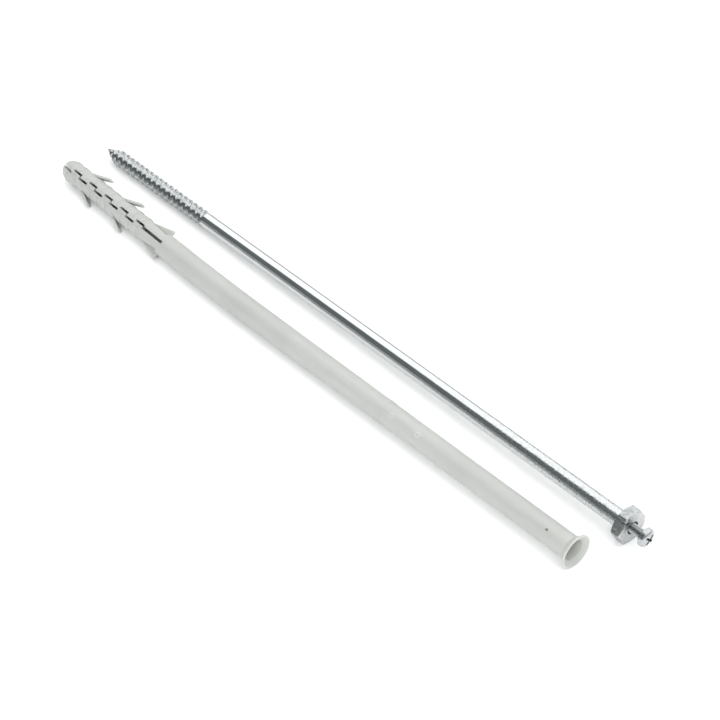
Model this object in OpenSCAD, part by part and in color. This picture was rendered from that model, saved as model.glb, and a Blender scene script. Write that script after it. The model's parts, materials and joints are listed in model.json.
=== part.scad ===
// Long frame anchor: a nylon expansion sleeve and its hexagon screw, lying side by side,
// with a small cross-head machine screw started in the hexagon's tapped hole.
// Millimetres. The floor is z = 0, and the pieces lie along X with their points at -X.

/* [Sleeve] */
// Length of the sleeve from its collar face to its nose
sleeve_l = 320.8; // [260:0.2:380]
// Diameter of the tube near the collar
tube_d = 9.66; // [9.3:0.02:10.4]
// Diameter of the tube near the expansion zone
tube_far_d = 10.44; // [10.2:0.02:11]
// Length of the even tube behind the collar
tube_even_l = 50; // [30:1:60]
// Bore that the screw slides in
bore_d = 7.5; // [7.3:0.05:7.8]
// Bend of the sleeve as it lies
bow_angle = 2.5; // [1:0.1:6]
// Length of the bent stretch
bow_l = 66; // [50:1:100]

/* [Collar] */
// Diameter of the collar's rim
collar_d = 13.8; // [12.8:0.1:16]
// Width of the flat lip round the mouth
lip_w = 0.45; // [0.3:0.05:0.8]
// Thickness of the rim at its edge
rim_t = 0.7; // [0.4:0.05:1]
// Length of the flare behind the rim
flare_l = 2.1; // [1.6:0.1:3]
// Diameter where the steep funnel ends
funnel_d = 8.8; // [8.2:0.1:9.4]
// Depth of the steep funnel
funnel_l = 1.5; // [1:0.1:2]
// Length of the shallow lead into the bore
lead_l = 3; // [2:0.1:5]

/* [Mould marks] */
// Distance of the mould ring from the collar face
ring_x = 100.8; // [70:0.2:110]
// Width of the mould ring
ring_w = 2; // [1:0.1:4]
// How far the mould ring stands proud
ring_h = 0.12; // [0.05:0.01:0.3]
// Distance of the pin mark from the collar face
pin_mark_x = 12.6; // [8:0.2:30]
// Diameter of the pin mark
pin_mark_d = 0.9; // [0.6:0.1:1.5]
// Depth of the pin mark
pin_mark_h = 0.4; // [0.2:0.05:0.6]

/* [Expansion zone] */
// Diameter over the crests of the rings
crest_d = 10.4; // [10:0.1:10.6]
// Depth of the ring steps under the crests
ring_step = 0.18; // [0.1:0.02:0.3]
// Distance across the side notches at their floors
notch_w = 9.2; // [8.6:0.1:9.6]
// Pitch of the rings and side notches
tooth_p = 6.1; // [5.8:0.1:6.4]
// Number of rings
tooth_count = 10; // [10:1:10]
// Length of the domed nose
nose_l = 7.2; // [5.2:0.1:7.3]
// Distance of the first side notch from the nose
notch_x = 6.5; // [6.2:0.1:6.8]
// Bore through the expansion zone
grip_bore_d = 4; // [3.4:0.1:4.4]
// Length of the cone from the main bore to the narrow one
bore_cone_l = 7; // [5:0.5:9]

/* [Slot] */
// Distance of the first zig-zag from the nose
zig_x = 10.5; // [10.3:0.1:11]
// Number of zig-zags
zig_count = 5; // [5:1:5]
// Width of the zig-zag slot
zig_w = 1; // [0.7:0.05:1.2]
// Sideways step of the zig-zag, from the middle to each run
zig_step = 0.8; // [0.6:0.05:0.9]
// How far the slot starts past the middle at the tip of the nose
nose_step = 0.5; // [0:0.05:0.8]
// Length of the web between two zig-zags
web_l = 0.5; // [0.4:0.05:0.8]
// Width of the straight slot
slot_w = 1.3; // [1:0.05:1.5]
// Length of the straight slot
slot_l = 14; // [12:0.5:15]

/* [Barbs and fins] */
// Reach of an upper barb's tip from the axis
barb_reach = 7.9; // [7.2:0.1:8.4]
// How much further the lower barbs have sprung out
barb_splay = 0.2; // [0:0.1:0.8]
// How much shorter that makes them along the sleeve
barb_splay_l = 1.4; // [0:0.1:2]
// Width of a barb
barb_w = 3; // [2:0.1:3.6]
// Thickness of a barb at its tip
barb_t = 1; // [0.8:0.05:1.2]
// Length of a barb from its root to its tip
barb_l = 11; // [10:0.1:13]
// Length of a barb's root, up to where the slit under it begins
barb_root_l = 3.2; // [2.4:0.1:4]
// Depth of the slit's end under the crests
slit_h = 1.1; // [0.8:0.05:1.2]
// Length of the slit inside the wall
slit_l = 5.4; // [4:0.1:7]
// Gap between a barb and the floor of its slit, where the slit begins
slit_w = 0.25; // [0.15:0.05:0.4]
// Distance of the first barb's root from the nose
barb_x = 17; // [16.6:0.1:17.4]
// Number of rings from one pair of barbs to the next
barb_rings = 4; // [4:1:4]
// Reach of a fin's tip from the axis
fin_reach = 7.3; // [6.6:0.1:7.6]
// Thickness of a fin
fin_t = 1; // [0.8:0.1:1.6]
// Length of a fin
fin_l = 12.8; // [11:0.1:13]
// Distance of a fin's start from the nose
fin_x = 64; // [63.2:0.1:65]
// Distance across the flats at the start of the fins
flat_start_w = 9.2; // [8.6:0.1:9.6]
// Distance across the flats at the end of the fins
flat_end_w = 7.4; // [6.4:0.1:8]

/* [Screw] */
// Length of the screw from its point to the hexagon's face
screw_l = 327.2; // [290:0.2:380]
// Diameter of the plain shank
shank_d = 7; // [6.6:0.05:7.1]
// Length of the threaded end with its point
thread_l = 74.4; // [50:0.2:90]
// Diameter over the thread
thread_d = 7.3; // [7.1:0.05:7.5]
// Diameter at the foot of the thread
root_d = 5.3; // [4.8:0.1:5.8]
// Pitch of the thread
thread_p = 3.62; // [3:0.02:4.2]
// Length of the point
point_l = 9; // [6:0.5:12]

/* [Hexagon] */
// Width across the flats
hex_w = 13; // [12:0.5:14]
// Thickness of the hexagon
hex_t = 4.5; // [4:0.1:7]
// Radius taken off the corners at the ends of the hexagon
hex_chamfer = 0.9; // [0.6:0.05:1.1]
// Mouth of the hole in the hexagon's face
mouth_d = 5.6; // [5.2:0.1:6.4]
// Depth of the mouth
mouth_l = 1.6; // [1:0.1:2.4]

/* [Machine screw] */
// Diameter of the machine screw
machine_d = 4; // [3.5:0.1:4.5]
// Length of the machine screw under its head
machine_l = 16; // [14:0.5:22]
// Length that stands out of the hexagon's face
machine_out = 5.45; // [4:0.05:6]
// Diameter of the pan head
head_d = 7.6; // [7:0.1:8.4]
// Height of the pan head
head_h = 2.9; // [2.4:0.1:3.2]
// Length of a wing of the cross recess, tip to tip
cross_l = 4.4; // [3.6:0.1:4.8]
// Width of a wing of the cross recess
cross_w = 0.9; // [0.7:0.05:1.1]
// Depth of the cross recess
cross_h = 1.7; // [1.2:0.1:1.9]
// Free length of the hole past the machine screw's end
hole_spare = 6; // [5.6:0.2:12]

/* [As it lies] */
// Distance between the two axes at the collar
side_gap = 24.4; // [18:0.2:40]
// How far the collar face lies behind the hexagon's face
collar_back = 4.8; // [0:0.2:12]
// Turn of the sleeve away from the screw in plan
sleeve_turn = 0.76; // [0:0.02:1.5]
// Roll of the sleeve about its axis
sleeve_roll = 34.6; // [20:0.2:40]

/* [Hidden] */
$fn = 72;

// Clearances and small lengths: running clearance, cut past a face, overlaps, blunt point, fin foot
run_clear = 0.06;
past = 1;
weld = 0.02;
weld_l = 0.5;
sharp_r = 0.35;
fin_sunk = 0.6;
fin_heel = 0.4;

// Radii and stations of the sleeve
tube_r = tube_d / 2;
tube_far_r = tube_far_d / 2;
bore_r = bore_d / 2;
collar_r = collar_d / 2;
crest_r = crest_d / 2;
grip_r = grip_bore_d / 2;
notch_r = notch_w / 2;
bow_r = bow_l / (bow_angle * PI / 180);
ring_start = zig_x - tooth_p / 2;
teeth_end = notch_x + tooth_count * tooth_p;
zig_p = 2 * tooth_p;
slot_x = zig_x + (zig_count - 0.5) * zig_p;
slot_end = slot_x + slot_l;
fin_end = fin_x + fin_l;
grip_end = max(fin_end, slot_end) - bore_cone_l / 2;
far_l = grip_end + bore_cone_l + past;
near_l = sleeve_l - bow_l - far_l;

// Radii and stations of the screw, measured from the hexagon's face
shank_r = shank_d / 2;
thread_r = thread_d / 2;
root_r = root_d / 2;
hex_corner_r = hex_w / 2 / cos(30);
tap_r = machine_d / 2 + run_clear;
hole_l = machine_l - machine_out + hole_spare;
first_crest = screw_l - point_l;

// The screw leans on its first full crest and on the hexagon's back edge
screw_lean = atan((hex_w / 2 - thread_r) / (first_crest - hex_t));
screw_axis_z = hex_w / 2 * cos(screw_lean) + hex_t * sin(screw_lean);

// The sleeve leans on its collar and on the lower corner of its first barb
barb_drop = (barb_reach + barb_splay) * sin(sleeve_roll) + barb_w / 2 * cos(sleeve_roll);
sleeve_lean = asin((collar_r - barb_drop) / (sleeve_l - barb_x - barb_l + barb_splay_l));

// Middle of the whole set in plan; the sleeve reaches furthest where its bend turns back
bow_reach = near_l * sin(sleeve_turn) + bow_r * (1 - cos(sleeve_turn)) + tube_far_r + weld;
mid_x = (machine_out + head_h - screw_l) * cos(screw_lean) / 2;
mid_y = (hex_corner_r - side_gap - bow_reach) / 2;

// Point on a circle
function polar(r, a) = [r * cos(a), r * sin(a)];

// Turns a profile of [radius, station] points about the X axis
module turn(points) {
    rotate([0, 90, 0])
        rotate_extrude()
            polygon(points);
}

// Bar of round section along X, from one station to another
module rod(r, from, to) {
    translate([from, 0, 0])
        rotate([0, 90, 0])
            cylinder(r = r, h = to - from);
}

// Even tube with the collar, its funnel and the mould ring; the collar face is x = 0
module near_tube() {
    ring_r = ring_h + tube_r + (tube_far_r - tube_r) * (ring_x - tube_even_l) / (near_l - tube_even_l);
    difference() {
        union() {
            turn([
                [0, -near_l - weld_l], [tube_far_r, -near_l - weld_l],
                [tube_far_r, -near_l], [tube_r, -tube_even_l],
                [tube_r, -rim_t - flare_l], [collar_r, -rim_t], [collar_r, 0], [0, 0]
            ]);
            rod(ring_r, -ring_x - ring_w / 2, -ring_x + ring_w / 2);
        }
        rod(bore_r, -near_l - past, past);
        turn([
            [0, -funnel_l - lead_l], [bore_r, -funnel_l - lead_l], [funnel_d / 2, -funnel_l],
            [collar_r - lip_w, 0], [collar_r - lip_w, past], [0, past]
        ]);
        rotate([sleeve_roll, 0, 0])
            translate([-pin_mark_x, 0, tube_r - pin_mark_h])
                cylinder(d = pin_mark_d, h = pin_mark_h + past);
    }
}

// Bent stretch of tube, a hair thicker than the two straight ends that it takes in
module bent_tube() {
    translate([-near_l, bow_r, 0])
        rotate([0, 0, -90 - bow_angle])
            rotate_extrude(angle = bow_angle, $fn = 1800)
                translate([bow_r, 0])
                    difference() {
                        circle(r = tube_far_r + weld, $fn = 72);
                        circle(r = bore_r - weld, $fn = 72);
                    }
}

// One zig-zag of the slot: a run on each side of the middle, joined by a step
module zig_outline() {
    run_l = zig_p / 2;
    near = zig_step - zig_w / 2;
    far = zig_step + zig_w / 2;
    polygon([
        [0, near], [run_l - zig_w, near], [run_l - zig_w, -far], [zig_p - web_l, -far],
        [zig_p - web_l, -near], [run_l, -near], [run_l, far], [0, far]
    ]);
}

// Last run of the slot, which opens into the straight stretch
module straight_outline() {
    run_l = zig_p / 2;
    near = zig_step - zig_w / 2;
    far = zig_step + zig_w / 2;
    half = slot_w / 2;
    polygon([
        [0, near], [run_l - zig_w, near], [run_l - zig_w, -half], [run_l + slot_l, -half],
        [run_l + slot_l, half], [run_l, half], [run_l, far], [0, far]
    ]);
}

// First run of the slot, which bends from the tip of the nose to one side of the middle
module nose_outline() {
    run_l = zig_x - web_l;
    parts = 6;
    function middle(t) = (nose_step + zig_step) * (1 - t) ^ 2 - zig_step;
    function edge(k, side) = [k / parts * run_l, middle(k / parts) + side * zig_w / 2];
    polygon(concat(
        [edge(0, 1) - [past, 0], edge(0, -1) - [past, 0]],
        [for (k = [0 : parts]) edge(k, -1)],
        [for (k = [parts : -1 : 0]) edge(k, 1)]
    ));
}

// Whole slot: both walls have the zig-zags, and the upper one alone has the straight run
module slot(height) {
    translate([0, 0, -height / 2])
        linear_extrude(height = height)
            nose_outline();
    for (k = [0 : zig_count - 2])
        translate([zig_x + k * zig_p, 0, -height / 2])
            linear_extrude(height = height)
                zig_outline();
    translate([zig_x + (zig_count - 1) * zig_p, 0, 0])
        linear_extrude(height = height / 2)
            straight_outline();
}

// Side notches of one flank: each floor rises towards the collar and ends in a step
module notch_outline() {
    polygon(concat(
        [for (k = [0 : tooth_count - 1], end = [0, 1])
            [notch_x + (k + end) * tooth_p, end == 0 ? notch_r : crest_r - ring_step / 2]],
        [[teeth_end, tube_far_r + past], [notch_x, tube_far_r + past]]
    ));
}

// Slit under a barb, from the end of its root out past its tip
module slit_outline(l, reach) {
    floor_r = crest_r - slit_h;
    polygon([
        [barb_root_l, floor_r + slit_w], [barb_root_l, floor_r], [barb_root_l + slit_l, crest_r],
        [l + past, crest_r], [l + past, reach + past], [l, reach - barb_t]
    ]);
}

// Barb in plan, its root sunk in the wall
module barb_outline(l, reach) {
    floor_r = crest_r - slit_h;
    polygon([
        [0, notch_r + slit_w], [l, reach], [l - barb_t / 3, reach - barb_t],
        [barb_root_l, floor_r + slit_w], [0, floor_r]
    ]);
}

// Fin in plan
module fin_outline() {
    polygon([
        [0, flat_start_w / 2 - fin_sunk], [0, flat_start_w / 2], [fin_l, fin_reach],
        [fin_l + fin_heel, flat_end_w / 2 - fin_sunk]
    ]);
}

// Flank that is cut away round a fin
module flat_outline() {
    polygon([
        [0, flat_start_w / 2], [fin_l + fin_heel, flat_end_w / 2],
        [fin_l + fin_heel, tube_far_r + past], [0, tube_far_r + past]
    ]);
}

// Both flanks of a plan outline, raised evenly about the middle plane
module both_flanks(height) {
    for (side = [0, 1])
        mirror([0, side, 0])
            translate([0, 0, -height / 2])
                linear_extrude(height = height)
                    children();
}

// Outline of barb k on one side, raised evenly about the middle plane
module barb_place(k, side, height) {
    mirror([0, side, 0])
        translate([barb_x + k * barb_rings * tooth_p, 0, -height / 2])
            linear_extrude(height = height)
                children();
}

// Outline of the expansion zone: a domed nose, shallow rings, then the even tube
function zone_profile() = concat(
    [for (a = [0 : 7.5 : 82.5]) [crest_r * sin(a), nose_l * (1 - cos(a))]],
    [[crest_r, nose_l]],
    [for (k = [0 : tooth_count - 1], step = [0, 1])
        [crest_r - step * ring_step, ring_start + k * tooth_p]],
    [[tube_far_r, teeth_end], [tube_far_r, far_l + weld_l], [0, far_l + weld_l]]
);

// Slotted expansion zone; the nose is x = 0 and the tube goes on towards +X
module expansion_zone() {
    cut_h = 2 * tube_far_r + 2 * past;
    difference() {
        union() {
            difference() {
                turn(zone_profile());
                both_flanks(cut_h)
                    notch_outline();
                both_flanks(cut_h)
                    translate([fin_x, 0])
                        flat_outline();
                for (k = [0, 1], side = [0, 1])
                    barb_place(k, side, cut_h)
                        slit_outline(barb_l - side * barb_splay_l, barb_reach + side * barb_splay);
            }
            for (k = [0, 1], side = [0, 1])
                barb_place(k, side, barb_w)
                    barb_outline(barb_l - side * barb_splay_l, barb_reach + side * barb_splay);
            translate([fin_x, 0, 0])
                both_flanks(fin_t)
                    fin_outline();
        }
        turn([
            [0, nose_l], [grip_r, nose_l + grip_r], [grip_r, grip_end],
            [bore_r, grip_end + bore_cone_l], [bore_r, far_l + past], [0, far_l + past]
        ]);
        slot(cut_h);
    }
}

// The moulded sleeve, straight at the collar and gently bent towards its nose
module sleeve() {
    color([0.79, 0.80, 0.77])
        translate([-collar_back - mid_x, -side_gap - mid_y, collar_r])
            rotate([0, -sleeve_lean, sleeve_turn]) {
                near_tube();
                bent_tube();
                translate([-near_l - bow_r * sin(bow_angle), bow_r * (1 - cos(bow_angle)), 0])
                    rotate([0, 0, -bow_angle])
                        rotate([sleeve_roll, 0, 0])
                            translate([-far_l, 0, 0])
                                expansion_zone();
            }
}

// Radius of the thread's outline at a distance from the point: foot and crest taper to the point
function taper(r, at) = at >= point_l ? r : sharp_r + (r - sharp_r) * max(at, 0) / point_l;

// The threaded end as one closed skin that winds round the X axis; the point is x = 0
module thread() {
    sides = 24;
    turns = floor(thread_l / thread_p);
    count = turns * sides;
    foot = [0, 0.36, 0.62, 0.72];
    high = [0, 0, 1, 1];
    rows = len(foot);
    start = 0.2;
    // Station of a corner, and its place on the helix
    function station(j, m) = start + thread_p * (j / sides + foot[m]);
    function fade(j) = min(1, j / sides, (count - j) / sides);
    function corner_r(j, m) =
        let (at = station(j, m), low = taper(root_r, at), top = taper(thread_r, at))
        low + (top - low) * high[m] * fade(j);
    function corner(j, m) =
        let (p = polar(corner_r(j, m), j * 360 / sides))
        [station(j, m), p[0], p[1]];
    points = concat(
        [for (j = [0 : count], m = [0 : rows - 1]) corner(j, m)],
        [[0, 0, 0], [station(count, 1), 0, 0]]
    );
    tip = (count + 1) * rows;
    heel = tip + 1;
    function id(j, m) = m < rows ? j * rows + m : (j + sides) * rows;
    skin = [
        for (j = [0 : count - 1], m = [0 : rows - 1])
            if (m < rows - 1 || j + sides + 1 <= count)
                for (half = [0, 1])
                    half == 0
                        ? [id(j, m), id(j, m + 1), id(j + 1, m)]
                        : [id(j + 1, m), id(j, m + 1), id(j + 1, m + 1)]
    ];
    tip_fan = concat(
        [for (j = [0 : sides - 1]) [tip, id(j, 0), id(j + 1, 0)]],
        [for (m = [0 : rows - 1]) [tip, id(0, m + 1), id(0, m)]]
    );
    heel_fan = concat(
        [for (j = [count - sides : count - 1]) [heel, id(j + 1, rows - 1), id(j, rows - 1)]],
        [for (m = [0 : rows - 2]) [heel, id(count, m), id(count, m + 1)]],
        [[heel, id(count - sides, rows - 1), id(count, 0)]]
    );
    polyhedron(points = points, faces = concat(skin, tip_fan, heel_fan), convexity = 10);
}

// Hexagon with turned corners at both ends; its face is x = 0
module hexagon() {
    intersection() {
        translate([-hex_t, 0, 0])
            rotate([0, 90, 0])
                rotate([0, 0, 30])
                    cylinder(r = hex_corner_r, h = hex_t, $fn = 6);
        turn([
            [0, -hex_t], [hex_corner_r - hex_chamfer, -hex_t],
            [hex_corner_r + past, -hex_t + (hex_chamfer + past) * tan(30)],
            [hex_corner_r + past, -(hex_chamfer + past) * tan(30)],
            [hex_corner_r - hex_chamfer, 0], [0, 0]
        ]);
    }
}

// The steel screw: wood thread, plain shank and hexagon with its tapped hole
module screw() {
    color([0.72, 0.74, 0.76])
        translate([-mid_x, -mid_y, screw_axis_z])
            rotate([0, -screw_lean, 0])
                difference() {
                    union() {
                        translate([-screw_l, 0, 0])
                            thread();
                        rod(shank_r, -screw_l + thread_l, -hex_t / 2);
                        hexagon();
                    }
                    rod(mouth_d / 2, -mouth_l, past);
                    rod(tap_r, -hole_l, 0);
                }
}

// Outline of the pan head from its seat to the middle of its dome, as [radius, station]
function pan_profile() =
    let (head_r = head_d / 2, round = 0.15, edge_h = 0.42 * head_h, draft = 0.1, fullness = 0.72)
    concat(
        [[0, 0], [head_r - round, 0], [head_r, round]],
        [for (a = [0 : 9 : 90])
            [head_r * (1 - draft * a / 90) * cos(a) ^ fullness, edge_h + (head_h - edge_h) * sin(a)]]
    );

// The small pan-head machine screw, part of the way into its hole
module machine_screw() {
    tip_l = 0.5;
    color([0.78, 0.80, 0.83])
        translate([-mid_x, -mid_y, screw_axis_z])
            rotate([0, -screw_lean, 0])
                translate([machine_out, 0, 0])
                    difference() {
                        union() {
                            turn([
                                [0, -machine_l], [machine_d / 2 - tip_l, -machine_l],
                                [machine_d / 2, -machine_l + tip_l], [machine_d / 2, weld_l], [0, weld_l]
                            ]);
                            turn(pan_profile());
                        }
                        for (a = [45, 135])
                            translate([head_h - cross_h, 0, 0])
                                rotate([a, 0, 0])
                                    translate([0, -cross_l / 2, -cross_w / 2])
                                        cube([cross_h + past, cross_l, cross_w]);
                    }
}

sleeve();
screw();
machine_screw();
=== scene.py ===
import json
import math
import bmesh
import bpy
from mathutils import Matrix, Vector


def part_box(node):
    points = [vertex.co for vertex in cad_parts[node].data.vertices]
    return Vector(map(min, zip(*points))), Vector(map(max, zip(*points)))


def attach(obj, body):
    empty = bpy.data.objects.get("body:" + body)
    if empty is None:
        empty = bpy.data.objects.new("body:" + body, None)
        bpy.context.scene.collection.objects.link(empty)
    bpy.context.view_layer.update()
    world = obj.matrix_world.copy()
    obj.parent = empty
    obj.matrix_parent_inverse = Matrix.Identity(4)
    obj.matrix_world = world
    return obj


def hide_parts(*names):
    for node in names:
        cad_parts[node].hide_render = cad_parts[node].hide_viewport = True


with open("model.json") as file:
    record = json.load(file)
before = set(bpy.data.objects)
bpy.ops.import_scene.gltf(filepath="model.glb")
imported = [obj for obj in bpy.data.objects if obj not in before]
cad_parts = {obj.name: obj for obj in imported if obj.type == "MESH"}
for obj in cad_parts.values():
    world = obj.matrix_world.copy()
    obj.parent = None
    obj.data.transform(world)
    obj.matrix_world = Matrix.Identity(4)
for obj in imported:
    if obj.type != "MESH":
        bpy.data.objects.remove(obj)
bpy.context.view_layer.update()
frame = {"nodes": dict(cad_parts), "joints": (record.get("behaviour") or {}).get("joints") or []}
scene = bpy.context.scene
MM = 0.001

# The screw's axis, from the joint that slides along it and the boxes of what lies on it
slide = frame["joints"][0]
screw_dir = Vector(slide["axis"]).normalized()
head_low, head_high = (Vector(c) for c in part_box("machine_screw"))
screw_low, screw_high = (Vector(c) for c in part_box("screw"))
head_end = Vector((head_high.x, (head_low.y + head_high.y) / 2, 0.0))
SCREW_L = (screw_high.x - screw_low.x) / screw_dir.x

# Machine screw: radius, length under the head, head height, and how far the head stands out
MACHINE_R = 2.0 * MM
MACHINE_L = 16.0 * MM
HEAD_H = 2.9 * MM
MACHINE_OUT = 5.45 * MM
FINE_PITCH = 0.7 * MM
FINE_ROOT_R = 1.62 * MM

# Hexagon: width across the flats, thickness, and the hole that runs on into the shank
HEX_W = 13.0 * MM
HEX_T = 4.5 * MM
HOLE_WALL_R = 2.4 * MM
HOLE_END = 17.2 * MM

# Shank, with a small shoulder where the wood thread begins, and its overlap with the thread
SHANK_R = 3.5 * MM
SHOULDER = 0.3 * MM
SHANK_OVERLAP = 0.5 * MM

# Wood thread: radius at the crests and at the root, length, pitch and point
THREAD_R = 3.65 * MM
ROOT_R = 2.65 * MM
THREAD_L = 74.4 * MM
PITCH = 3.62 * MM
TURNS = 20
POINT_L = 9.0 * MM
SHARP_R = 0.35 * MM
TIP_GAP = 0.1 * MM

# Sleeve: radii, its place beside the screw, and how it lies
COLLAR_R = 6.9 * MM
TUBE_R = 4.83 * MM
SIDE_GAP = 24.4 * MM
COLLAR_BACK = 4.8 * MM
SLEEVE_TURN = math.radians(0.76)
SLEEVE_LEAN = math.radians(0.2076)

# Steps of one full turn
SHANK_STEPS = 96
WOOD_STEPS = 40
FINE_STEPS = 32

# Distances that points are merged at, and that a cut stands off a face
MERGE = 0.001 * MM
SLIVER = 0.0005 * MM
WOUND_MERGE = 0.002 * MM
BEHIND_HEX = 0.01 * MM
UNDER_HEAD = 0.02 * MM

# Angles that an edge turns sharp at, in degrees
SLEEVE_SHARP = 28.0
HEX_SHARP = 20.0
HEAD_SHARP = 28.0
SHANK_SHARP = 35.0
THREAD_SHARP = 50.0

# Nylon: its tones, and the glow of its skin
NYLON_DARK = (0.375, 0.385, 0.367, 1)
NYLON_MEAN = (0.395, 0.405, 0.387, 1)
NYLON_LIGHT = (0.415, 0.425, 0.407, 1)
NYLON_GLOW = 0.55
NYLON_GLOW_REACH = (3.2 * MM, 3.2 * MM, 3.0 * MM)
NYLON_DEPTH = 0.04 * MM

# Round mould marks and the pin mark, by distance from the collar face and roll from the top
MOULD_MARKS = (94.7 * MM, 80.3 * MM)
MARK_ROLL = math.radians(35.0)
MARK_R = 0.9 * MM
MARK_IN = 0.12 * MM
MARK_OUT = 0.35 * MM
MARK_TONE = (0.56, 0.565, 0.55, 1)
PIN_MARK = 12.6 * MM
PIN_ROLL = math.radians(34.6)
PIN_R = 0.45 * MM
PIN_SOFT = 0.12 * MM
PIN_TONE = (0.07, 0.07, 0.065, 1)

# Zinc plate: its depth of mottle, and the turned face of the hexagon, whose lighter tone is painted
# light
ZINC_DEPTH = 0.014 * MM
HEX_DEPTH = 0.06 * MM
STREAK_SHADE = 0.93
# Lighter tone for the hexagon's turned face: painted light
TURNED_FACE_PAINTED_LIGHT = (0.50, 0.51, 0.51, 1)
TURNED_PITCH = 0.5 * MM
TURNED_DEPTH = 0.35

# Sky: the dark panel's edges in degrees from overhead towards the camera's side, and the dim
# band round the horizon, which rises towards both ends of X
GLOW_TONE = (1.75, 1.75, 1.75, 1)
PANEL_TONE = (0.18, 0.20, 0.205, 1)
PANEL_FROM = 14.0
PANEL_TO = 88.0
PANEL_SOFT = 4.0
BAND_RISE = 0.16
BAND_LOW = 0.08
BAND_HIGH = 0.24

# Floor and fill light
FLOOR_HALF = 6.0
FLOOR_TONE = (0.93, 0.93, 0.93, 1)
FLOOR_ROUGH = 0.9
FILL_SPOT = (0.5, -0.9, 0.8)
FILL_SIZE = 1.2
FILL_POWER = 18.0

# Camera: its place, its angles in degrees below the horizon and from the Y axis, and its lens
CAMERA_SPOT = (0.458922, -0.382864, 0.507565)
CAMERA_DOWN = 40.862
CAMERA_TURN = 48.707
CAMERA_LENS = 95.55
CAMERA_SENSOR = 36.0
CAMERA_NEAR = 0.01


# Places on the part

def along_screw(s):
    """Point on the screw's axis, s metres from the hexagon's face towards the head."""
    face_x = head_end.x - (MACHINE_OUT + HEAD_H) * screw_dir.x
    face_z = screw_low.z + HEX_W / 2 * screw_dir.x + HEX_T * screw_dir.z
    return Vector((face_x, head_end.y, face_z)) + screw_dir * s


def screw_frame():
    """Matrix that turns local X onto the screw's axis and puts the origin in the hexagon's face."""
    turn = Vector((1, 0, 0)).rotation_difference(screw_dir).to_matrix().to_4x4()
    return Matrix.Translation(along_screw(0.0)) @ turn


def sleeve_point(s, roll):
    """Point on the tube's skin, s metres behind the collar face, rolled from the top towards -Y."""
    face = along_screw(0.0)
    origin = Vector((face.x - COLLAR_BACK, face.y - SIDE_GAP, COLLAR_R))
    turn = Matrix.Rotation(SLEEVE_TURN, 4, "Z") @ Matrix.Rotation(-SLEEVE_LEAN, 4, "Y")
    return origin + turn @ Vector((-s, -TUBE_R * math.sin(roll), TUBE_R * math.cos(roll)))


def on_head(point):
    """Whether a point lies on the pan head and not on the machine screw's shaft."""
    return (point - along_screw(0.0)).dot(screw_dir) > MACHINE_OUT - UNDER_HEAD


# Helpers for meshes

def node_copy(node, keep=None):
    """Merged copy of a CAD node's mesh, or of the faces whose centres keep() picks."""
    bm = bmesh.new()
    bm.from_mesh(frame["nodes"][node].data)
    bmesh.ops.remove_doubles(bm, verts=bm.verts, dist=MERGE)
    bmesh.ops.dissolve_degenerate(bm, edges=bm.edges, dist=SLIVER)
    if keep:
        lost = [f for f in bm.faces if not keep(f.calc_center_median())]
        bmesh.ops.delete(bm, geom=lost, context="FACES")
    return bm


def revolved(points):
    """Spins a profile of (station, radius) points about local X."""
    bm = bmesh.new()
    line = [bm.verts.new((x, r, 0.0)) for x, r in points]
    edges = [bm.edges.new(pair) for pair in zip(line, line[1:])]
    bmesh.ops.spin(
        bm, geom=line + edges, cent=(0, 0, 0), axis=(1, 0, 0),
        angle=math.tau, steps=SHANK_STEPS, use_merge=True,
    )
    bmesh.ops.remove_doubles(bm, verts=bm.verts, dist=SLIVER)
    bmesh.ops.recalc_face_normals(bm, faces=bm.faces)
    return bm


def wound(profile, start, pitch, turns, steps):
    """Winds a profile of (share of the pitch, radius) points right-handed about local X."""
    bm = bmesh.new()
    line = [bm.verts.new((start + share * pitch, r, 0.0)) for share, r in profile]
    edges = [bm.edges.new(pair) for pair in zip(line, line[1:])]
    bmesh.ops.spin(
        bm, geom=line + edges, cent=(0, 0, 0), axis=(1, 0, 0),
        dvec=(pitch / steps, 0, 0), angle=math.tau * turns, steps=steps * turns,
    )
    bmesh.ops.remove_doubles(bm, verts=bm.verts, dist=WOUND_MERGE)
    return bm


def rounded_thread(root, crest, foot=0.30, top=0.60, land=0.12, count=6):
    """Profile of one pitch: a flat root, a rising flank, a rounded crest and a falling flank."""
    points = [(0.0, root), (foot * 0.5, root)]
    for k in range(count + 1):
        t = k / count
        rise = 0.5 - 0.5 * math.cos(math.pi * t)
        points.append((foot + (top - foot) * t, root + (crest - root) * rise))
    for k in range(count + 1):
        t = k / count
        fall = 0.5 + 0.5 * math.cos(math.pi * t)
        points.append((top + land + (1.0 - top - land) * t, root + (crest - root) * fall))
    return points


def close_ends(bm):
    """Fills every open end and turns the faces outwards."""
    bmesh.ops.holes_fill(bm, edges=[e for e in bm.edges if e.is_boundary], sides=0)
    bmesh.ops.triangulate(bm, faces=[f for f in bm.faces if len(f.verts) > 4])
    bmesh.ops.recalc_face_normals(bm, faces=bm.faces)


def place(bm):
    """Moves a new mesh from the screw's own axes to its place."""
    bmesh.ops.transform(bm, matrix=screw_frame(), verts=bm.verts)
    return bm


def add_object(name, bm, body, material, sharp):
    """Makes an object of a bmesh, smooth but for its sharp edges, and hangs it on its body."""
    for face in bm.faces:
        face.smooth = True
    for edge in bm.edges:
        edge.smooth = edge.calc_face_angle(0.0) < math.radians(sharp)
    mesh = bpy.data.meshes.new(name)
    bm.to_mesh(mesh)
    bm.free()
    layer = mesh.attributes.get("custom_normal")
    if layer:
        mesh.attributes.remove(layer)
    piece = bpy.data.objects.new(name, mesh)
    scene.collection.objects.link(piece)
    mesh.materials.clear()
    mesh.materials.append(material)
    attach(piece, body)
    return piece


# Helpers for materials

def new_node(tree, kind, **values):
    """Adds a node and sets its properties, or its inputs where a name is an input's."""
    node = tree.nodes.new(kind)
    for name, value in values.items():
        if hasattr(node, name):
            setattr(node, name, value)
        else:
            node.inputs[name.replace("_", " ")].default_value = value
    return node


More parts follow.
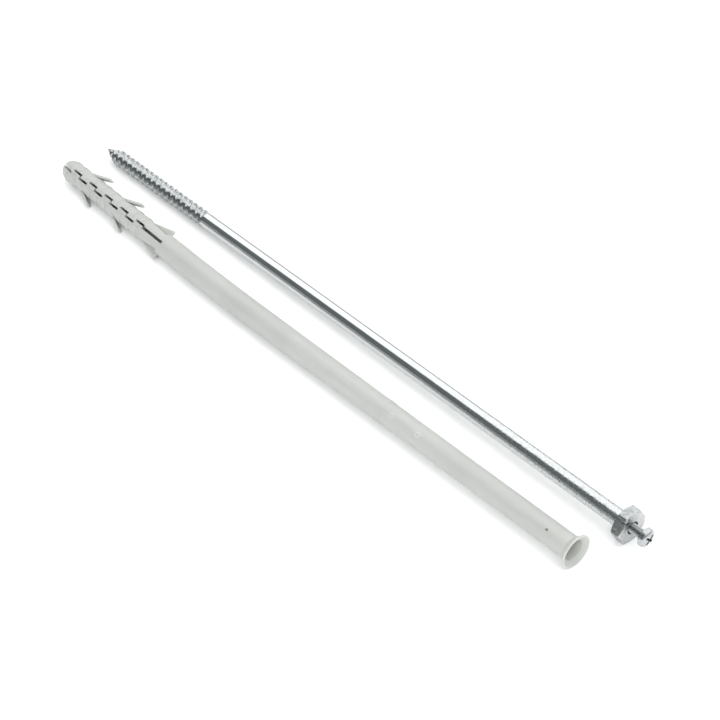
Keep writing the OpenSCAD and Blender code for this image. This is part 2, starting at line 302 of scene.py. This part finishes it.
def mapped(tree, value, from_low, from_high, to_low=0.0, to_high=1.0):
    """Value stretched from one range to another, and clamped there."""
    span = new_node(tree, "ShaderNodeMapRange", From_Min=from_low, From_Max=from_high,
                    To_Min=to_low, To_Max=to_high, interpolation_type="SMOOTHSTEP")
    tree.links.new(value, span.inputs["Value"])
    return span.outputs["Result"]


def noise_mask(tree, coords, scale, detail, low, high):
    """Noise between 0 and 1, with its contrast set by low and high."""
    noise = new_node(tree, "ShaderNodeTexNoise", Scale=scale, Detail=detail)
    tree.links.new(coords, noise.inputs["Vector"])
    return mapped(tree, noise.outputs["Fac"], low, high)


def combine(tree, operation, first, second=0.0):
    """Maths on one or two values; each is a number or an output."""
    node = new_node(tree, "ShaderNodeMath", operation=operation)
    for index, value in enumerate((first, second)):
        if isinstance(value, (int, float)):
            node.inputs[index].default_value = value
        else:
            tree.links.new(value, node.inputs[index])
    return node.outputs["Value"]


def blend_colours(tree, mask, first, second):
    """Mixes two colours by a mask; each is a colour or an output."""
    mix = new_node(tree, "ShaderNodeMix", data_type="RGBA")
    tree.links.new(mask, mix.inputs["Factor"])
    sockets = [s for s in mix.inputs if s.type == "RGBA"]
    for socket, value in zip(sockets, (first, second)):
        if isinstance(value, tuple):
            socket.default_value = value
        else:
            tree.links.new(value, socket)
    return next(s for s in mix.outputs if s.type == "RGBA")


def stretched(tree, coords, scale):
    """Coordinates stretched along each axis."""
    mapping = new_node(tree, "ShaderNodeMapping", Scale=scale)
    tree.links.new(coords, mapping.inputs["Vector"])
    return mapping.outputs["Vector"]


def distance_from(tree, coords, point, keep=(1, 1, 1)):
    """Distance from a point, or from a line through it where keep drops an axis."""
    shift = new_node(tree, "ShaderNodeVectorMath", operation="SUBTRACT")
    tree.links.new(coords, shift.inputs[0])
    shift.inputs[1].default_value = point
    flat = new_node(tree, "ShaderNodeVectorMath", operation="MULTIPLY")
    tree.links.new(shift.outputs["Vector"], flat.inputs[0])
    flat.inputs[1].default_value = keep
    length = new_node(tree, "ShaderNodeVectorMath", operation="LENGTH")
    tree.links.new(flat.outputs["Vector"], length.inputs[0])
    return length.outputs["Value"]


def axis_value(tree, coords, axis):
    """One component of a vector."""
    split = new_node(tree, "ShaderNodeSeparateXYZ")
    tree.links.new(coords, split.inputs["Vector"])
    return split.outputs[axis]


def new_material(name):
    """Material with its node tree, its shader and its object coordinates."""
    material = bpy.data.materials.new(name)
    material.use_nodes = True
    tree = material.node_tree
    shader = tree.nodes["Principled BSDF"]
    coords = new_node(tree, "ShaderNodeTexCoord").outputs["Object"]
    return material, tree, shader, coords


def add_bump(tree, shader, height, strength, distance):
    """Feeds a height to the shader's normal."""
    bump = new_node(tree, "ShaderNodeBump", Strength=strength, Distance=distance)
    tree.links.new(height, bump.inputs["Height"])
    tree.links.new(bump.outputs["Normal"], shader.inputs["Normal"])


# Materials

def nylon(name):
    """Satin grey nylon with faint flow marks, a fine grain, two round mould marks and a pin mark."""
    material, tree, shader, coords = new_material(name)
    broad = noise_mask(tree, coords, scale=40.0, detail=3.0, low=0.35, high=0.65)
    drawn = stretched(tree, coords, (60, 900, 900))
    flow = noise_mask(tree, drawn, scale=1.0, detail=4.0, low=0.3, high=0.7)
    grain = noise_mask(tree, coords, scale=2600.0, detail=3.0, low=0.2, high=0.8)
    tone = blend_colours(tree, broad, NYLON_DARK, NYLON_LIGHT)
    tone = blend_colours(tree, flow, tone, NYLON_MEAN)
    rough = mapped(tree, grain, 0.0, 1.0, to_low=0.40, to_high=0.52)
    height = combine(tree, "MULTIPLY", grain, 0.25)
    for station in MOULD_MARKS:
        reach = distance_from(tree, coords, tuple(sleeve_point(station, MARK_ROLL)))
        inside = mapped(tree, reach, MARK_R - MARK_IN, MARK_R)
        outside = mapped(tree, reach, MARK_R, MARK_R + MARK_OUT, to_low=1.0, to_high=0.0)
        ring = combine(tree, "MULTIPLY", inside, outside)
        height = combine(tree, "ADD", height, ring)
        tone = blend_colours(tree, ring, tone, MARK_TONE)
    reach = distance_from(tree, coords, tuple(sleeve_point(PIN_MARK, PIN_ROLL)))
    spot = mapped(tree, reach, PIN_R, PIN_R + PIN_SOFT, to_low=1.0, to_high=0.0)
    tone = blend_colours(tree, spot, tone, PIN_TONE)
    tree.links.new(tone, shader.inputs["Base Color"])
    tree.links.new(rough, shader.inputs["Roughness"])
    shader.inputs["Subsurface Weight"].default_value = NYLON_GLOW
    shader.inputs["Subsurface Radius"].default_value = NYLON_GLOW_REACH
    shader.inputs["Subsurface Scale"].default_value = 1.0
    add_bump(tree, shader, height, 0.5, NYLON_DEPTH)
    return material


def mottle_group():
    """Shared look of the zinc plate: streaks drawn along X, and blotches as strong as Amount."""
    tree = bpy.data.node_groups.new("zinc_mottle", "ShaderNodeTree")
    tree.interface.new_socket(name="Vector", in_out="INPUT", socket_type="NodeSocketVector")
    tree.interface.new_socket(name="Amount", in_out="INPUT", socket_type="NodeSocketFloat")
    for name in ("Patch", "Streaks", "Roughness", "Height"):
        tree.interface.new_socket(name=name, in_out="OUTPUT", socket_type="NodeSocketFloat")
    source = tree.nodes.new("NodeGroupInput")
    result = tree.nodes.new("NodeGroupOutput")
    coords = source.outputs["Vector"]
    drawn = stretched(tree, coords, (120, 2400, 2400))
    streaks = noise_mask(tree, drawn, scale=1.0, detail=3.0, low=0.3, high=0.7)
    blotch = noise_mask(tree, coords, scale=1100.0, detail=3.0, low=0.35, high=0.65)
    fine = noise_mask(tree, coords, scale=4200.0, detail=2.0, low=0.3, high=0.7)
    patch = combine(tree, "MULTIPLY", blotch, source.outputs["Amount"])
    matt = mapped(tree, patch, 0.0, 1.0, to_low=0.10, to_high=0.30)
    speck = mapped(tree, fine, 0.0, 1.0, to_low=0.0, to_high=0.06)
    faint = combine(tree, "MULTIPLY", streaks, 0.12)
    tree.links.new(patch, result.inputs["Patch"])
    tree.links.new(streaks, result.inputs["Streaks"])
    tree.links.new(combine(tree, "ADD", matt, speck), result.inputs["Roughness"])
    tree.links.new(combine(tree, "ADD", patch, faint), result.inputs["Height"])
    return tree


def zinc(name, bright, dark, mottle_from, mottle_to, satin=0.0, depth=ZINC_DEPTH, turned_and_painted_light=False):
    """Bright zinc plate, rougher by satin, whose blotches thicken from one X to the other."""
    material, tree, shader, coords = new_material(name)
    shader.inputs["Metallic"].default_value = 1.0
    mottle = tree.nodes.new("ShaderNodeGroup")
    mottle.node_tree = zinc_mottle
    tree.links.new(coords, mottle.inputs["Vector"])
    amount = mapped(tree, axis_value(tree, coords, "X"), mottle_from, mottle_to)
    tree.links.new(amount, mottle.inputs["Amount"])
    shaded = tuple(STREAK_SHADE * c for c in bright[:3]) + (1,)
    tone = blend_colours(tree, mottle.outputs["Streaks"], bright, shaded)
    tone = blend_colours(tree, mottle.outputs["Patch"], tone, dark)
    height = mottle.outputs["Height"]
    # Turned rings in the bump are real relief; the lighter tone on faces that face along the screw
    # is painted light
    if turned_and_painted_light:
        facing = new_node(tree, "ShaderNodeTexCoord").outputs["Normal"]
        face = mapped(tree, axis_value(tree, facing, "X"), 0.3, 0.6)
        tone = blend_colours(tree, face, tone, TURNED_FACE_PAINTED_LIGHT)
        radius = distance_from(tree, coords, tuple(along_screw(0.0)), keep=(0, 1, 1))
        rings = combine(tree, "SINE", combine(tree, "MULTIPLY", radius, math.tau / TURNED_PITCH))
        height = combine(tree, "ADD", height, combine(tree, "MULTIPLY", rings, TURNED_DEPTH))
    rough = combine(tree, "ADD", mottle.outputs["Roughness"], satin)
    tree.links.new(tone, shader.inputs["Base Color"])
    tree.links.new(rough, shader.inputs["Roughness"])
    add_bump(tree, shader, height, 1.0, depth)
    return material


sleeve_nylon = nylon("sleeve_nylon")
zinc_mottle = mottle_group()
plate = zinc(
    "screw_steel", bright=(0.60, 0.62, 0.62, 1), dark=(0.50, 0.52, 0.52, 1),
    mottle_from=-0.02, mottle_to=0.15,
)
# The hexagon is the same zinc-plated steel as the shank; its darker bright and dark tones are
# painted shade
hexagon_plate_painted_shade = zinc(
    "hexagon_steel_painted_shade", bright=(0.46, 0.48, 0.48, 1), dark=(0.32, 0.34, 0.34, 1),
    mottle_from=0.0, mottle_to=0.1, satin=0.12, depth=HEX_DEPTH, turned_and_painted_light=True,
)
# The wood thread is the same zinc-plated steel as the shank; its darker bright and dark tones are
# painted shade
thread_plate_painted_shade = zinc(
    "thread_steel_painted_shade", bright=(0.46, 0.48, 0.48, 1), dark=(0.34, 0.36, 0.36, 1),
    mottle_from=-0.3, mottle_to=-0.25,
)
small_plate = zinc(
    "machine_screw_steel", bright=(0.50, 0.52, 0.53, 1), dark=(0.42, 0.44, 0.45, 1),
    mottle_from=0.1, mottle_to=0.2, satin=0.12,
)


# Pieces

def hexagon_mesh():
    """The solid's hexagon with its hole, cut off just behind its back face and closed there."""
    bm = node_copy("screw")
    bmesh.ops.bisect_plane(
        bm, geom=bm.verts[:] + bm.edges[:] + bm.faces[:],
        plane_co=along_screw(-HEX_T - BEHIND_HEX), plane_no=screw_dir, clear_inner=True,
    )
    bmesh.ops.bridge_loops(bm, edges=[e for e in bm.edges if e.is_boundary])
    bmesh.ops.recalc_face_normals(bm, faces=bm.faces)
    return bm


def shank_mesh():
    """Turned shank, from inside the thread to inside the hexagon, with the rest of the hole."""
    start = -SCREW_L + THREAD_L
    return place(revolved([
        (start - SHANK_OVERLAP, 0.0), (start - SHANK_OVERLAP, ROOT_R),
        (start, SHANK_R - SHOULDER), (start + SHOULDER, SHANK_R),
        (-HEX_T / 2, SHANK_R), (-HEX_T / 2, HOLE_WALL_R),
        (-HOLE_END, HOLE_WALL_R), (-HOLE_END, 0.0),
    ]))


def wood_thread_mesh():
    """Wound wood thread, drawn in to a point at its start."""
    bm = wound(rounded_thread(ROOT_R, THREAD_R), -SCREW_L + TIP_GAP, PITCH, TURNS, WOOD_STEPS)
    close_ends(bm)
    for vert in bm.verts:
        from_tip = max(vert.co.x + SCREW_L, 0.0)
        r = math.hypot(vert.co.y, vert.co.z)
        if from_tip < POINT_L and r > 0:
            share = (SHARP_R + (r - SHARP_R) * from_tip / POINT_L) / r
            vert.co.y *= share
            vert.co.z *= share
    return place(bm)


def pan_head_mesh():
    """The solid's pan head, closed where its shaft was."""
    bm = node_copy("machine_screw", on_head)
    close_ends(bm)
    return bm


def machine_thread_mesh():
    """Wound fine thread, long enough to end inside the head."""
    ridge = [(0.0, FINE_ROOT_R), (0.1, FINE_ROOT_R), (0.5, MACHINE_R), (0.6, MACHINE_R),
             (1.0, FINE_ROOT_R)]
    turns = math.ceil(MACHINE_L / FINE_PITCH)
    bm = wound(ridge, MACHINE_OUT - MACHINE_L, FINE_PITCH, turns, FINE_STEPS)
    close_ends(bm)
    return place(bm)


# The moulded sleeve keeps the solid's shape
sleeve = add_object("sleeve_body", node_copy("sleeve"), "anchor", sleeve_nylon,
                    SLEEVE_SHARP)
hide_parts("sleeve")

# The screw: its hexagon, its shank and its wood thread
hexagon = add_object("hexagon", hexagon_mesh(), "anchor", hexagon_plate_painted_shade,
                     HEX_SHARP)
shank = add_object("shank", shank_mesh(), "anchor", plate,
                   SHANK_SHARP)
thread = add_object("wood_thread", wood_thread_mesh(), "anchor", thread_plate_painted_shade,
                    THREAD_SHARP)
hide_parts("screw")
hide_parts("screw")
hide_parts("screw")

# The machine screw: its head and its fine thread
head = add_object("pan_head", pan_head_mesh(), "machine_screw", small_plate,
                  HEAD_SHARP)
bolt = add_object("machine_thread", machine_thread_mesh(), "machine_screw", small_plate,
                  THREAD_SHARP)
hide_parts("machine_screw")
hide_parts("machine_screw")


# Stage: a pale floor under soft light

def pale_floor():
    """Plain pale floor."""
    bm = bmesh.new()
    bmesh.ops.create_grid(bm, x_segments=1, y_segments=1, size=FLOOR_HALF)
    mesh = bpy.data.meshes.new("floor")
    bm.to_mesh(mesh)
    bm.free()
    floor = bpy.data.objects.new("floor", mesh)
    scene.collection.objects.link(floor)
    material, _, shader, _ = new_material("pale_floor")
    shader.inputs["Base Color"].default_value = FLOOR_TONE
    shader.inputs["Roughness"].default_value = FLOOR_ROUGH
    mesh.materials.append(material)


def studio_world():
    """A bright overhead glow, a dark panel over the camera's side and a dim horizon band."""
    world = bpy.data.worlds.new("studio")
    scene.world = world
    world.use_nodes = True
    tree = world.node_tree
    coords = new_node(tree, "ShaderNodeTexCoord").outputs["Generated"]
    up = axis_value(tree, coords, "Z")
    across = combine(tree, "MULTIPLY", axis_value(tree, coords, "Y"), -1.0)
    angle = combine(tree, "ARCTAN2", across, up)
    near, far, soft = (math.radians(a) for a in (PANEL_FROM, PANEL_TO, PANEL_SOFT))
    start = mapped(tree, angle, near - soft, near + soft)
    end = mapped(tree, angle, far - soft, far + soft, to_low=1.0, to_high=0.0)
    panel = combine(tree, "MULTIPLY", start, end)
    along = combine(tree, "ABSOLUTE", axis_value(tree, coords, "X"))
    low = combine(tree, "SUBTRACT", up, combine(tree, "MULTIPLY", along, BAND_RISE))
    band = mapped(tree, low, BAND_LOW, BAND_HIGH, to_low=1.0, to_high=0.0)
    shade = combine(tree, "MAXIMUM", panel, band)
    back = tree.nodes["Background"]
    tree.links.new(blend_colours(tree, shade, GLOW_TONE, PANEL_TONE), back.inputs["Color"])


def fill_light():
    """Soft light from the camera's side that shows in no reflection."""
    data = bpy.data.lights.new("fill", "AREA")
    data.energy = FILL_POWER
    data.size = FILL_SIZE
    lamp = bpy.data.objects.new("fill", data)
    lamp.location = FILL_SPOT
    lamp.rotation_euler = (-Vector(FILL_SPOT)).to_track_quat("-Z", "Y").to_euler()
    lamp.visible_glossy = False
    scene.collection.objects.link(lamp)


def camera():
    """The photograph's view, from the fitted perspective."""
    data = bpy.data.cameras.new("camera")
    data.sensor_width = CAMERA_SENSOR
    data.lens = CAMERA_LENS
    data.clip_start = CAMERA_NEAR
    view = bpy.data.objects.new("camera", data)
    view.location = CAMERA_SPOT
    view.rotation_euler = (math.radians(90.0 - CAMERA_DOWN), 0.0, math.radians(CAMERA_TURN))
    scene.collection.objects.link(view)
    scene.camera = view


pale_floor()
studio_world()
fill_light()
camera()
scene.view_settings.view_transform = "Standard"
